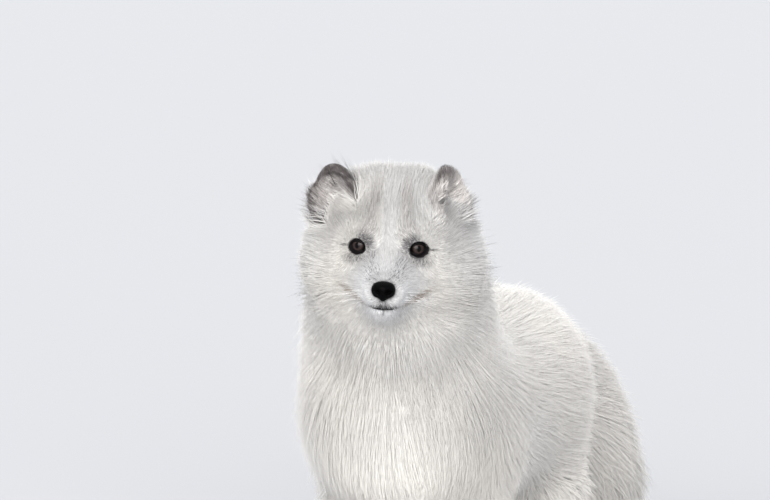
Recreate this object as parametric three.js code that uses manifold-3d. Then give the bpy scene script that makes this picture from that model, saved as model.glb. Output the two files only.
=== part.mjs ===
// An adult arctic fox in full winter coat, standing on four feet, its head raised and a little to its left.
// Millimetres, +Z up. The fox faces -Y and its left side is +X.
// The origin is on the floor, under the middle of its box.
// The outer surface of the coat is one smooth form, a blend of round limbs and egg shapes.
// It is meshed region by region and parted with thin cuts into the parts that a person would name.
import * as THREE from 'three';
import { mergeVertices } from 'three/addons/utils/BufferGeometryUtils.js';
import Module from 'manifold-3d';

const wasm = await Module();
wasm.setup();

const v = (x, y, z) => new THREE.Vector3(x, y, z);
const rad = THREE.MathUtils.degToRad;

// ---------------------------------------------------------------- driving dimensions

const gap = 0.35; // between neighbouring parts
const faceGap = 0.6; // round the nose
const earGap = 0.8; // between an ear and the coat of the head
const backHeight = 300; // coat of the back above the floor
const trunkRadius = 96; // half the depth of the trunk with its coat
const footSpread = 52; // from the middle plane to a foot
const strideShift = 14; // how far one foot of a pair stands ahead of the other
const eyeHeight = 376; // midpoint of the eyes above the floor
const headYaw = 14.7; // degrees, turned to the fox's left
const headPitch = 4; // degrees, muzzle down
const headRoll = 2.8; // degrees, left side down
const pupilSpread = 26; // from the middle plane of the head to a pupil
const eyeRadius = 9;
const eyeSplay = 22; // degrees that each eye looks outwards
const tailRadius = 60;
const pawLength = 34; // half of a paw, heel to toes
const hindSpread = footSpread + 4; // hind feet stand a little wider

const trunkZ = backHeight - trunkRadius;

// ---------------------------------------------------------------- distance fields

// Joins two distances with a fillet about as wide as `soft`.
const blend = (a, b, soft) => {
  const h = Math.max(soft - Math.abs(a - b), 0) / soft;
  return Math.min(a, b) - (h * h * soft) / 4;
};

// Cuts the form b out of a, with a rounded lip.
const carve = (a, b, soft) => -blend(-a, b, soft);

// An egg shape: `middle` and the three half sizes `size`.
const egg = (middle, size) => (p) => {
  const q = p.clone().sub(middle).divide(size);
  const near = q.length();
  const slope = q.divide(size).length();
  return slope < 1e-9 ? -Math.min(size.x, size.y, size.z) : (near * (near - 1)) / slope;
};

// A round limb that follows a smooth line through `stations`, each [x, y, z, radius].
// `width` widens or narrows its section across the body.
const limb = (stations, width = 1, steps = 20) => {
  const line = new THREE.CatmullRomCurve3(stations.map(([x, y, z]) => v(x, y, z)));
  const girth = new THREE.CatmullRomCurve3(stations.map((s, i) => v(i, s[3], 0)));
  const points = line.getPoints(steps);
  const radii = girth.getPoints(steps).map((g) => g.y);
  const middleX = stations.reduce((sum, s) => sum + s[0], 0) / stations.length;
  return (p) => {
    const q = v(middleX + (p.x - middleX) / width, p.y, p.z);
    let best = Infinity;
    for (let i = 0; i < steps; i++) {
      const along = points[i + 1].clone().sub(points[i]);
      const t = THREE.MathUtils.clamp(q.clone().sub(points[i]).dot(along) / along.lengthSq(), 0, 1);
      const radius = THREE.MathUtils.lerp(radii[i], radii[i + 1], t);
      best = Math.min(best, q.distanceTo(points[i].clone().addScaledVector(along, t)) - radius);
    }
    return best;
  };
};

// ---------------------------------------------------------------- trunk, neck and tail

const trunk = limb(
  [
    [0, -150, trunkZ + 6, 74],
    [0, -98, trunkZ, 90],
    [0, -10, trunkZ - 3, 94],
    [0, 75, trunkZ, 95],
    [0, 138, trunkZ + 2, 88],
    [0, 176, trunkZ + 4, 68],
  ],
  1.02,
);

const neck = limb([
  [0, -118, trunkZ + 18, 84],
  [3, -150, trunkZ + 60, 84],
  [13, -186, trunkZ + 112, 86],
  [23, -216, trunkZ + 146, 73],
]);

const tail = limb([
  [0, 186, trunkZ + 34, 32],
  [2, 228, trunkZ + 20, 42],
  [8, 292, trunkZ - 24, tailRadius],
  [16, 356, trunkZ - 84, tailRadius - 2],
  [23, 404, trunkZ - 134, 43],
  [26, 430, trunkZ - 164, 17],
]);

// ---------------------------------------------------------------- legs: side is 1 on the left, -1 on the right

const foreStep = (side) => (side * strideShift) / 2;
const hindStep = (side) => (-side * strideShift) / 2;

const foreleg = (side) => {
  const x = side * footSpread;
  const y = -112 + foreStep(side);
  return limb([
    [x * 0.7, -100, 196, 54],
    [x, -96 + foreStep(side) / 2, 140, 38],
    [x, y + 2, 84, 24],
    [x, y, 46, 20],
    [x, y - 8, 22, 19],
  ]);
};

const hindleg = (side) => {
  const x = side * hindSpread;
  const y = 140 + hindStep(side);
  return limb([
    [x * 0.65, 112, 196, 62],
    [x + side * 3, 94 + hindStep(side) / 2, 142, 45],
    [x + side * 2, y - 10, 104, 29],
    [x, y + 12, 78, 22],
    [x, y + 2, 44, 19],
    [x, y - 8, 22, 18],
  ]);
};

const forepaw = (side) =>
  egg(v(side * footSpread, -132 + foreStep(side), 14), v(23, pawLength, 19));
const hindpaw = (side) =>
  egg(v(side * hindSpread, 120 + hindStep(side), 14), v(21, pawLength, 18));

// ---------------------------------------------------------------- head, in a frame of its own
// Its origin is midway between the pupils, the muzzle points to -Y and the left side is +X.

const headFrame = new THREE.Matrix4()
  .makeTranslation(34, -282, eyeHeight)
  .multiply(
    new THREE.Matrix4().makeRotationFromEuler(
      new THREE.Euler(rad(headPitch), rad(headRoll), rad(headYaw), 'ZXY'),
    ),
  );
const toHead = headFrame.clone().invert();
const sides = [1, -1];

// A form on both sides of the head, given by its left one.
const pair = (middle, size) => sides.map((s) => egg(v(s * middle.x, middle.y, middle.z), size));

const eyeMiddle = (side) =>
  v(
    side * (pupilSpread - eyeRadius * Math.sin(rad(eyeSplay))),
    eyeRadius * Math.cos(rad(eyeSplay)),
    0,
  );

const skull = [
  egg(v(0, 52, 8), v(55, 54, 48)), // crown and back of the head
  ...pair(v(24, 68, 25), v(32, 30, 33)), // sides of the crown, behind the ears
  ...pair(v(36, 38, -24), v(41, 39, 42)), // cheeks
];
const face = [
  egg(v(0, 18, 5), v(34, 28, 28)), // forehead
  ...pair(v(20, 9, 13), v(13, 11, 9)), // brows
  ...pair(v(23, 22, -45), v(27, 30, 21)), // jowls
  limb([[0, 12, -24, 28], [0, -12, -27, 21.5], [0, -35, -30, 14.5]], 1.15), // bridge and muzzle
  ...pair(v(8, -32, -37), v(10, 13, 8.5)), // upper lips
  limb([[0, 16, -46, 21], [0, -8, -50, 14], [0, -28, -52, 9]], 1.15), // chin
];
const socketMiddle = (side) => v(side * (pupilSpread + 1), -7, 0);
const socketSize = v(8.6, 11, 7.6);

const headForm = (p) => {
  const q = p.clone().applyMatrix4(toHead);
  let d = skull.reduce((sum, form) => blend(sum, form(q), 18), Infinity);
  return face.reduce((sum, form) => blend(sum, form(q), 9), d);
};

// ---------------------------------------------------------------- the whole coat

const legs = sides.flatMap((s) => [foreleg(s), hindleg(s)]);
const paws = sides.flatMap((s) => [forepaw(s), hindpaw(s)]);

const coat = (p) => {
  let d = blend(trunk(p), neck(p), 45);
  d = blend(d, tail(p), 26);
  d = legs.reduce((sum, form) => blend(sum, form(p), 20), d);
  d = paws.reduce((sum, form) => blend(sum, form(p), 8), d);
  return blend(d, headForm(p), 22);
};

// ---------------------------------------------------------------- ears, nose and eyes

const earTurn = { left: 52, right: -22 }; // degrees that each ear's opening turns to the fox's left
const earLean = { left: -1, right: -9 }; // degrees that each ear's tip leans to the fox's left
const earBase = (side) => v(side * 46, 31, 24);
const earFrame = (side) => {
  const name = side > 0 ? 'left' : 'right';
  const turn = new THREE.Matrix4().makeRotationZ(rad(earTurn[name]));
  const lean = new THREE.Matrix4().makeRotationFromEuler(new THREE.Euler(rad(-6), rad(earLean[name]), 0));
  const base = new THREE.Matrix4().setPosition(earBase(side));
  return headFrame.clone().multiply(base).multiply(lean).multiply(turn);
};
const earShell = { middle: v(0, 0, 8), size: v(24, 13, 31) };
const earHollow = { middle: v(0, -9.5, 11), size: v(18.5, 15.5, 23) };
const earTaper = 0.1; // how much narrower an ear gets towards its tip

const noseMiddle = v(0, -46, -27);
const noseForms = [
  egg(v(0, -46, -26.5), v(8.8, 8.5, 6.6)),
  ...pair(v(5.2, -45, -27.8), v(4.9, 8, 6.2)),
  egg(v(0, -47, -32), v(3.4, 5.5, 5.2)),
];
const nostrils = pair(v(5.4, -54, -27.5), v(2.1, 5, 2.3));
const noseForm = (p) => {
  const q = p.clone().applyMatrix4(toHead);
  const pad = noseForms.reduce((sum, form) => blend(sum, form(q), 3), Infinity);
  return nostrils.reduce((sum, form) => carve(sum, form(q), 1), pad);
};

// ---------------------------------------------------------------- meshing

// A closed mesh of the surface where `distance` is zero, inside `box`, by surface nets:
// one vertex in each cell that the surface crosses and one quad for each grid edge that it crosses.
const surfaceMesh = (distance, box, cell) => {
  const inside = (p) => {
    const out = box.distanceToPoint(p);
    if (out > 0) return out;
    const fromLow = box.min.clone().sub(p);
    const fromHigh = p.clone().sub(box.max);
    return Math.max(distance(p), ...fromLow.toArray(), ...fromHigh.toArray());
  };
  const low = box.min.clone().subScalar(1.5 * cell);
  const count = box.getSize(v(0, 0, 0)).divideScalar(cell).addScalar(4).ceil().toArray();
  const at = ([i, j, k]) => v(low.x + i * cell, low.y + j * cell, low.z + k * cell);
  const key = ([i, j, k]) => (k * count[1] + j) * count[0] + i;
  const values = new Float32Array(count[0] * count[1] * count[2]);
  const eachPoint = (visit) => {
    for (let k = 0; k < count[2]; k++)
      for (let j = 0; j < count[1]; j++)
        for (let i = 0; i < count[0]; i++) visit([i, j, k]);
  };
  eachPoint((g) => {
    values[key(g)] = inside(at(g));
  });
  // One step along the slope of the distance brings a vertex onto the surface.
  const ontoSurface = (p) => {
    const probe = cell / 50;
    const slope = v(0, 0, 0);
    for (const axis of ['x', 'y', 'z']) {
      const [ahead, behind] = [p.clone(), p.clone()];
      ahead[axis] += probe;
      behind[axis] -= probe;
      slope[axis] = (inside(ahead) - inside(behind)) / (2 * probe);
    }
    const whole = -inside(p) / Math.max(slope.lengthSq(), 0.25);
    const step = THREE.MathUtils.clamp(whole, -cell / 4, cell / 4);
    return p.addScaledVector(slope, step);
  };
  const corners = [0, 1, 2, 3, 4, 5, 6, 7].map((c) => [c & 1, (c >> 1) & 1, c >> 2]);
  const nextTo = (a, b) => a.filter((n, axis) => n !== b[axis]).length === 1;
  const edges = corners.flatMap((a, i) =>
    corners.slice(i + 1).filter((b) => nextTo(a, b)).map((b) => [a, b]),
  );
  const plus = (a, b) => a.map((n, axis) => n + b[axis]);
  const places = [];
  const vertexOf = new Map();
  eachPoint((g) => {
    if (g.some((n, axis) => n >= count[axis] - 1)) return;
    const sum = v(0, 0, 0);
    let crossings = 0;
    for (const [a, b] of edges) {
      const [da, db] = [values[key(plus(g, a))], values[key(plus(g, b))]];
      if (da < 0 === db < 0) continue;
      sum.add(at(plus(g, a)).lerp(at(plus(g, b)), da / (da - db)));
      crossings++;
    }
    if (!crossings) return;
    vertexOf.set(key(g), places.length / 3);
    places.push(...ontoSurface(sum.divideScalar(crossings)).toArray());
  });
  const triangles = [];
  eachPoint((g) => {
    for (let axis = 0; axis < 3; axis++) {
      const step = [0, 0, 0];
      step[axis] = 1;
      const next = plus(g, step);
      if (next[axis] >= count[axis] || values[key(g)] < 0 === values[key(next)] < 0) continue;
      const back = (n, m) => {
        const cellAt = [...g];
        cellAt[(axis + 1) % 3] -= n;
        cellAt[(axis + 2) % 3] -= m;
        return vertexOf.get(key(cellAt));
      };
      const quad = [back(1, 1), back(0, 1), back(0, 0), back(1, 0)];
      if (values[key(g)] >= 0) quad.reverse();
      triangles.push(quad[0], quad[1], quad[2], quad[0], quad[2], quad[3]);
    }
  });
  return new THREE.BufferGeometry()
    .setAttribute('position', new THREE.Float32BufferAttribute(places, 3))
    .setIndex(triangles);
};

// ---------------------------------------------------------------- solids and cuts

const solid = (geometry) => {
  const bare = geometry.clone().deleteAttribute('normal').deleteAttribute('uv');
  const merged = mergeVertices(bare, 1e-4);
  return new wasm.Manifold(
    new wasm.Mesh({
      numProp: 3,
      vertProperties: merged.attributes.position.array,
      triVerts: new Uint32Array(merged.index.array),
    }),
  );
};

// A closed form without the facets that its own shape does not need.
const cells = { trunk: 25, neck: 22, tail: 20, upperLeg: 19, lowerLeg: 13, head: 9.5, nose: 2.8 };
const facetError = { coat: 0.6, nose: 0.06 };
const formSolid = (distance, box, cell, error = facetError.coat) =>
  solid(surfaceMesh(distance, box, cell)).simplify(error);

// The slivers that cuts leave are smoothed away first.
const sliver = 0.1;
const geometryOf = (shape) => {
  const mesh = shape.simplify(sliver).getMesh();
  const geometry = new THREE.BufferGeometry()
    .setAttribute('position', new THREE.Float32BufferAttribute(mesh.vertProperties, 3))
    .setIndex(new THREE.BufferAttribute(mesh.triVerts, 1))
    .toNonIndexed();
  geometry.computeVertexNormals();
  return geometry;
};

// Everything on the side of a plane that `keep` points to. The plane moves by `shift` that way.
const reach = 1400;
const halfSpace = ({ at, keep }, shift) => {
  const turn = new THREE.Quaternion().setFromUnitVectors(v(0, 0, 1), keep.clone().normalize());
  const block = new THREE.BoxGeometry(reach, reach, reach)
    .translate(0, 0, reach / 2 + shift)
    .applyQuaternion(turn)
    .translate(at.x, at.y, at.z);
  return solid(block);
};
const regionSolid = (planes, shift) =>
  planes.map((plane) => halfSpace(plane, shift)).reduce((sum, next) => sum.intersect(next));

const inHead = (at, keep) => ({
  at: at.applyMatrix4(headFrame),
  keep: keep.transformDirection(headFrame),
});

const regions = {
  neck: [{ at: v(0, -160, 254), keep: v(0, -0.56, 0.83) }],
  head: [inHead(v(0, 56, -14), v(0, -0.88, 0.48))],
  jaw: [
    inHead(v(0, -45, -42.5), v(0, 0.1, -1)),
    inHead(v(0, -4, -42), v(0, -1, 0.45)),
  ],
  tailBase: [
    { at: v(0, 212, 232), keep: v(0, 0.9, -0.44) },
    { at: v(0, 190, 0), keep: v(0, 1, 0) },
  ],
  tailBrush: [
    { at: v(8, 306, 168), keep: v(0, 0.72, -0.69) },
    { at: v(0, 212, 0), keep: v(0, 1, 0) },
  ],
};
for (const side of sides) {
  const name = side > 0 ? 'left' : 'right';
  const inner = { at: v(side * 12, 0, 0), keep: v(side, 0, 0) };
  const leg = (low, high, front, back) => [
    inner,
    { at: v(side * 60, 0, high), keep: v(side * 0.3, 0, -1) },
    { at: v(0, 0, low), keep: v(0, 0, 1) },
    { at: v(0, front, 0), keep: v(0, 1, 0) },
    { at: v(0, back, 0), keep: v(0, -1, 0) },
  ];
  regions[`foreleg_${name}`] = leg(-30, 152, -190, -45);
  regions[`hindleg_${name}`] = leg(-30, 186, 40, 189);
}

const below = (z) => [{ at: v(0, 0, z), keep: v(0, 0, -1) }];
const above = (z) => [{ at: v(0, 0, z), keep: v(0, 0, 1) }];
const floorFlat = above(-gap / 2); // the paws are cut flat on the floor

// ---------------------------------------------------------------- the parts

const furWhite = new THREE.MeshStandardMaterial({ color: 0xd9d5cf, roughness: 0.9, metalness: 0 });
const furGrey = new THREE.MeshStandardMaterial({ color: 0x9a9490, roughness: 0.9, metalness: 0 });
const noseBlack = new THREE.MeshStandardMaterial({ color: 0x0d0d0f, roughness: 0.45, metalness: 0 });
const eyeBrown = new THREE.MeshStandardMaterial({ color: 0x2a2220, roughness: 0.08, metalness: 0 });

const fox = new THREE.Group();
const addPart = (name, shape, material) => {
  const mesh = new THREE.Mesh(geometryOf(shape), material);
  mesh.name = name;
  fox.add(mesh);
};

const box = (low, high) => new THREE.Box3(v(...low), v(...high));
const grown = (form, by) => (p) => form(p) - by;

const eggSolid = (frame, middle, size, taper = 0) => {
  const ball = new THREE.SphereGeometry(1, 16, 10);
  const places = ball.getAttribute('position');
  for (let i = 0; i < places.count; i++) {
    const narrow = 1 - taper * places.getZ(i);
    places.setXY(i, places.getX(i) * narrow, places.getY(i) * narrow);
  }
  ball.scale(size.x, size.y, size.z).translate(middle.x, middle.y, middle.z);
  return solid(ball.applyMatrix4(frame));
};
const ballSolid = (middle, radius) => eggSolid(headFrame, middle, v(radius, radius, radius));

const wholeBox = box([-130, -380, -20], [130, 480, 480]);
const headBox = box([-110, -370, 250], [150, -140, 460]);

// Takes the named regions out of a shape, a gap apart from what fills them.
const without = (shape, names) =>
  names.reduce((rest, name) => rest.subtract(regionSolid(regions[name], -gap / 2)), shape);
const within = (shape, planes) => shape.intersect(regionSolid(planes, gap / 2));

const bodyForm = formSolid(coat, wholeBox, cells.trunk);
const limbNames = ['foreleg_left', 'foreleg_right', 'hindleg_left', 'hindleg_right'];
const torso = without(bodyForm, ['neck', 'tailBase', ...limbNames]);
addPart('trunk', torso, furWhite);

const neckBox = box([-130, -300, 150], [140, -60, 440]);
const neckForm = formSolid(coat, neckBox, cells.neck);
addPart('neck', without(within(neckForm, regions.neck), ['head']), furWhite);

const tailBox = box([-90, 180, 5], [110, 480, 300]);
const tailForm = formSolid(coat, tailBox, cells.tail);
const wholeTail = within(tailForm, regions.tailBase);
addPart('tail_base', without(wholeTail, ['tailBrush']), furWhite);
addPart('tail_brush', within(wholeTail, regions.tailBrush), furWhite);

// Each leg is parted below the elbow or the knee and above the paw.
const legJoints = { foreleg: [96, 42], hindleg: [100, 40] };
const legParts = {
  foreleg: ['upper_foreleg', 'lower_foreleg', 'forepaw'],
  hindleg: ['thigh', 'lower_hindleg', 'hindpaw'],
};
for (const side of sides) {
  const name = side > 0 ? 'left' : 'right';
  for (const [kind, [knee, ankle]] of Object.entries(legJoints)) {
    const [low, high] = kind === 'foreleg' ? [-195, -40] : [35, 195];
    const [nearX, farX] = [4, 130].map((x) => side * x);
    const legBox = box([Math.min(nearX, farX), low, -20], [Math.max(nearX, farX), high, 215]);
    const upper = within(formSolid(coat, legBox, cells.upperLeg), regions[`${kind}_${name}`]);
    const lower = within(formSolid(coat, legBox, cells.lowerLeg), regions[`${kind}_${name}`]);
    const [thigh, shank, paw] = legParts[kind];
    addPart(`${thigh}_${name}`, within(upper, above(knee)), furWhite);
    addPart(`${shank}_${name}`, within(lower, [...below(knee), ...above(ankle)]), furWhite);
    addPart(`${paw}_${name}`, within(lower, [...below(ankle), ...floorFlat]), furWhite);
  }
}

const noseBox = new THREE.Box3().setFromCenterAndSize(
  noseMiddle.clone().applyMatrix4(headFrame), v(34, 34, 34),
);
const nose = formSolid(noseForm, noseBox, cells.nose, facetError.nose);
const noseRoom = formSolid(grown(noseForm, faceGap), noseBox, cells.nose, facetError.nose);
const wholeHead = within(formSolid(coat, headBox, cells.head), regions.head);
const headRoom = formSolid(grown(coat, earGap), headBox, cells.head);
const eyeRooms = sides.flatMap((side) => [
  ballSolid(eyeMiddle(side), eyeRadius + gap),
  eggSolid(headFrame, socketMiddle(side), socketSize),
]);
const openHead = eyeRooms.reduce((rest, room) => rest.subtract(room), wholeHead.subtract(noseRoom));
addPart('head', without(openHead, ['jaw']), furWhite);
addPart('lower_jaw', within(openHead, regions.jaw), furWhite);
addPart('nose', nose, noseBlack);

for (const side of sides) {
  const name = side > 0 ? 'left' : 'right';
  addPart(`eye_${name}`, ballSolid(eyeMiddle(side), eyeRadius), eyeBrown);
  const frame = earFrame(side);
  const [shell, hollow] = [earShell, earHollow].map(({ middle, size }) =>
    eggSolid(frame, middle, size, earTaper),
  );
  addPart(`ear_${name}`, shell.subtract(hollow).subtract(headRoom), furGrey);
}

// The origin goes to the floor under the middle of the fox's box.
const middle = new THREE.Box3().setFromObject(fox).getCenter(v(0, 0, 0));
fox.position.set(-middle.x, -middle.y, 0);

export default fox;
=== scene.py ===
# An adult arctic fox in white winter coat, dressed over its solids: skin, coat, ears, eyes, lids, nose,
# lips, whiskers and claws. Metres, +Z up, the fox faces -Y and its left side is +X.
# The head has a frame of its own, in millimetres: its origin is midway between the pupils and -Y is forward.
import math
import bpy
import numpy as np
from mathutils import Matrix, Vector
from mathutils.bvhtree import BVHTree
from mathutils.kdtree import KDTree


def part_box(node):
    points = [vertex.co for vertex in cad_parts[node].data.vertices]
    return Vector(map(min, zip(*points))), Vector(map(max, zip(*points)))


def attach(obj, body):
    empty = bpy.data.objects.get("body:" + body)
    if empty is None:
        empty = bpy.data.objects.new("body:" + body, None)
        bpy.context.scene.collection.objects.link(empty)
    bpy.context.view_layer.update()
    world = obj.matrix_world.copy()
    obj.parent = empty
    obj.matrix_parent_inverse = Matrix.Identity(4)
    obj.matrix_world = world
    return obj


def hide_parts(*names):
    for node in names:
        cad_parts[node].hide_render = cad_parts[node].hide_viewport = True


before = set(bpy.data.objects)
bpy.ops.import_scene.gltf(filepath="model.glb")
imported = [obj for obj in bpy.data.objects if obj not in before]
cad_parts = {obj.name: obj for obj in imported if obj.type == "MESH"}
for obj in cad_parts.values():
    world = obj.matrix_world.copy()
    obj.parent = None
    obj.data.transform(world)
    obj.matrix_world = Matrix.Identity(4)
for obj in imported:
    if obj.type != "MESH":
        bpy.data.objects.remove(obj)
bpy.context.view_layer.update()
mm = 0.001
sides = {"left": 1, "right": -1}
fleshNodes = [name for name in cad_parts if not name.startswith(("eye", "nose"))]


# Helpers for pieces

def deselectAll():
    bpy.ops.object.select_all(action="DESELECT")


def pick(*pieces):
    deselectAll()
    for piece in pieces:
        piece.select_set(True)
    bpy.context.view_layer.objects.active = pieces[0]


def startEdit(piece, action="SELECT"):
    pick(piece)
    bpy.ops.object.mode_set(mode="EDIT")
    bpy.ops.mesh.select_all(action=action)


def endEdit():
    bpy.ops.object.mode_set(mode="OBJECT")


def applyModifiers(piece):
    pick(piece)
    for modifier in list(piece.modifiers):
        bpy.ops.object.modifier_apply(modifier=modifier.name)


def newPiece(name, mesh):
    piece = bpy.data.objects.new(name, mesh)
    bpy.context.scene.collection.objects.link(piece)
    return piece


def named(piece, name):
    piece.name = name
    piece.data.name = name
    return piece


def closeUp(piece, distance=0.01):
    startEdit(piece)
    bpy.ops.mesh.remove_doubles(threshold=distance * mm)
    bpy.ops.mesh.normals_make_consistent(inside=False)
    endEdit()


def joined(pieces, name):
    pick(*pieces)
    bpy.ops.object.join()
    return named(pieces[0], name)


def finishPiece(piece, material, slot, *nodes):
    piece.data.materials.clear()
    piece.data.materials.append(material)
    piece.data.polygons.foreach_set("use_smooth", np.ones(len(piece.data.polygons), bool))
    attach(piece, "root")
    if nodes:
        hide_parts(*nodes)


def boxCentre(node):
    return sum(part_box(node), Vector()) / 2


def readAll(items, name, size=3, kind=float):  # one value of every item, in rows
    values = np.empty(len(items) * size, kind)
    items.foreach_get(name, values)
    return values.reshape(-1, size)


def placesOf(piece):
    return readAll(piece.data.vertices, "co")


def edgesOf(piece):
    return readAll(piece.data.edges, "vertices", 2, np.int64)


def moveTo(piece, places):
    piece.data.vertices.foreach_set("co", np.ascontiguousarray(places, np.float32).ravel())
    piece.data.update()


def evened(values, edges, rounds, share=0.5):  # each value drawn towards the mean of its neighbours
    values = np.array(values, float)
    flat = values.reshape(len(values), -1)
    near = np.bincount(edges.ravel(), minlength=len(values)).clip(1)
    for turn in range(rounds):
        for column in range(flat.shape[1]):
            total = np.bincount(edges[:, 0], flat[edges[:, 1], column], len(values))
            total += np.bincount(edges[:, 1], flat[edges[:, 0], column], len(values))
            flat[:, column] += share * (total / near - flat[:, column])
    return flat.reshape(values.shape)


def ramp(value, low, high):  # 0 at low, 1 at high, with soft ends; low may be the larger
    t = np.clip((np.asarray(value, float) - low) / (high - low), 0, 1)
    return t * t * (3 - 2 * t)


def mixed(a, b, share):  # numbers, colours or rows of them, from a to b
    share = np.asarray(share, float)
    if max(np.ndim(a), np.ndim(b)) > share.ndim or np.shape(b) == (3,):
        share = share[..., None]
    return a + (np.asarray(b) - a) * share


def length(vectors):
    return np.linalg.norm(vectors, axis=-1)


def unit(vectors):
    return vectors / length(vectors)[..., None].clip(1e-9)


def along(vectors, normals):  # the share of each vector that lies in the surface
    return unit(vectors - normals * (vectors * normals).sum(-1, keepdims=True))


def waves(places, size, seed):  # slow waves through space, about -1 to 1, a crest every `size`
    source = np.random.RandomState(seed)
    total = np.zeros(len(places))
    for turn in range(7):
        lean = unit(source.normal(size=3)) * source.uniform(0.7, 1.6) * 2 * math.pi / size
        total += np.sin(places @ lean + source.uniform(0, 6.3))
    return total / 3.2


def pointTree(points):
    tree = KDTree(len(points))
    for index, point in enumerate(points):
        tree.insert(point, index)
    tree.balance()
    return tree


def surfaceTree(piece, places):
    return BVHTree.FromPolygons(places.tolist(), [face.vertices for face in piece.data.polygons])


def turnBy(degrees, axis):
    return Matrix.Rotation(math.radians(degrees), 3, axis)


def shade(red, green, blue):  # a colour as seen on a screen, 0 to 255, made linear
    return np.array([((c / 255 + 0.055) / 1.055) ** 2.4 for c in (red, green, blue)])


def paint(mesh, colours):
    layer = mesh.color_attributes.new("coatColor", "FLOAT_COLOR", "POINT")
    solid = np.concatenate([colours.clip(0, 1), np.ones((len(colours), 1))], axis=1)
    layer.data.foreach_set("color", solid.astype(np.float32).ravel())


# Materials: `add` makes a node and gives one output of it, and `finish` sets the surface's own inputs

def startMaterial(name):
    material = bpy.data.materials.new(name)
    material.use_nodes = True
    nodes, links = material.node_tree.nodes, material.node_tree.links

    def fill(node, inputs):  # with a value, or with another node's output
        for key, value in inputs.items():
            if isinstance(value, bpy.types.NodeSocket):
                links.new(value, node.inputs[key])
            else:
                node.inputs[key].default_value = value

    def add(kind, output, inputs, **settings):
        node = nodes.new("ShaderNode" + kind)
        for key, value in settings.items():
            setattr(node, key, value)
        fill(node, inputs)
        return node.outputs[output]

    def finish(inputs):
        fill(nodes["Principled BSDF"], inputs)
        return material

    return add, finish


def grainMaterial(name, kind, output, grain, reach, bump, surface, invert=False):
    add, finish = startMaterial(name)
    tone = add("Attribute", "Color", {}, attribute_name="coatColor")
    place = add("TexCoord", "Object", {})
    grains = add(kind, output, {"Vector": place, **grain})
    mottle = add("MapRange", "Result", {"Value": grains, **reach})
    blend = add("VectorMath", "Vector", {0: tone, "Scale": mottle}, operation="SCALE")
    relief = {"Strength": bump[0], "Distance": bump[1] * mm, "Height": grains}
    relief = add("Bump", "Normal", relief, invert=invert)
    return finish({**surface, "Base Color": blend, "Normal": relief})


def furMaterial(name, strand, bump):
    strands = {"Scale": strand, "Detail": 3}
    reach = {"From Min": 0.3, "From Max": 0.7, "To Min": 0.94, "To Max": 1.03}
    soft = {"Roughness": 0.72, "Specular IOR Level": 0.25, "Sheen Weight": 0.25, "Sheen Roughness": 0.5}
    return grainMaterial(name, "TexNoise", "Fac", strands, reach, (bump, 0.6), soft)


def darkSkinMaterial(name, rough, shine, grain, deep):
    reach, moist = {"To Min": 1.15, "To Max": 0.8}, {"Roughness": rough, "Specular IOR Level": shine}
    return grainMaterial(name, "TexVoronoi", "Distance", {"Scale": grain}, reach, (0.7, deep), moist, True)


skinFur = furMaterial("shortFur", 900, 0.6)
coatFur = furMaterial("coatFur", 500, 0.2)
lidSkin = darkSkinMaterial("lidSkin", 0.55, 0.05, 1500, 0.12)
noseSkin = darkSkinMaterial("noseSkin", 0.4, 0.022, 1150, 0.3)
clawHorn = darkSkinMaterial("clawHorn", 0.35, 0.3, 700, 0.05)


# The frame of the head, from the eyes

head = {"yaw": 14.7, "pitch": 4.0, "roll": 2.8, "pupilAcross": 26, "eyeDepth": 8.345, "nose": (0, -47, -27)}
headAxes = turnBy(head["yaw"], "Z") @ turnBy(head["pitch"], "X") @ turnBy(head["roll"], "Y")
headTurn = np.array(headAxes)
eyeCentre = {side: boxCentre("eye_" + side) for side in sides}
headOrigin = (eyeCentre["left"] + eyeCentre["right"]) / 2 - headAxes @ Vector((0, head["eyeDepth"] * mm, 0))


def inHead(places):  # places in the head's frame, in millimetres
    return (np.atleast_2d(places) - np.array(headOrigin)) @ headTurn / mm


def fromHead(spots):
    return np.atleast_2d(spots) * mm @ headTurn.T + np.array(headOrigin)


def pupil(side, ahead=0):
    return (head["pupilAcross"] * sides[side], ahead, 0)


def fromNose(spots):
    return length(spots - head["nose"])


def fromEyes(spots):  # how far from the nearer pupil
    return np.minimum(*[length(spots - pupil(side)) for side in sides])


def eyeAxes(side):  # out, up and along the gaze
    gaze = (Vector(fromHead(pupil(side))[0]) - eyeCentre[side]).normalized()
    up = headAxes @ Vector((0, 0, 1))
    up = (up - gaze * gaze.dot(up)).normalized()
    return np.array([gaze.cross(up) * -sides[side], up, gaze])


def fromEye(spots, side):
    return np.atleast_2d(spots) * mm @ eyeAxes(side) + np.array(eyeCentre[side])


# The ears' own frames: origin at the base, +Z to the tip, -Y out of the opening

ear = {
    "base": (46, 31, 24), "tilt": -6, "lean": {"left": -1, "right": -9}, "turn": {"left": 52, "right": -22},
    "shell": ((0, 0, 8), (24, 13, 31)), "hollow": ((0, -9.5, 11), (18.5, 15.5, 23)), "narrowing": (4, 28),
}
earForm = {  # how much taller above its middle, and narrower at its inner and outer half towards the tip
    "left": {"tall": 0.06, "inner": 0.55, "outer": 0.3},
    "right": {"tall": 0.04, "inner": 0, "outer": 0.14},
}
earWool = {  # how far up and out the pale wool reaches, how pale its rim is, and how much it stands out
    "left": {"top": 36, "edge": 40, "paleRim": 0.95, "fluff": 0.75},
    "right": {"top": 12, "edge": 6, "paleRim": 0, "fluff": 0},
}


def earAxes(side):
    tilt, lean = turnBy(ear["tilt"], "X"), turnBy(ear["lean"][side], "Y")
    return np.array(headAxes @ tilt @ lean @ turnBy(ear["turn"][side], "Z"))


def earBase(side):
    return fromHead(np.multiply(ear["base"], (sides[side], 1, 1)))


def inEar(places, side):
    return (np.atleast_2d(places) - earBase(side)) @ earAxes(side) / mm


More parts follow.
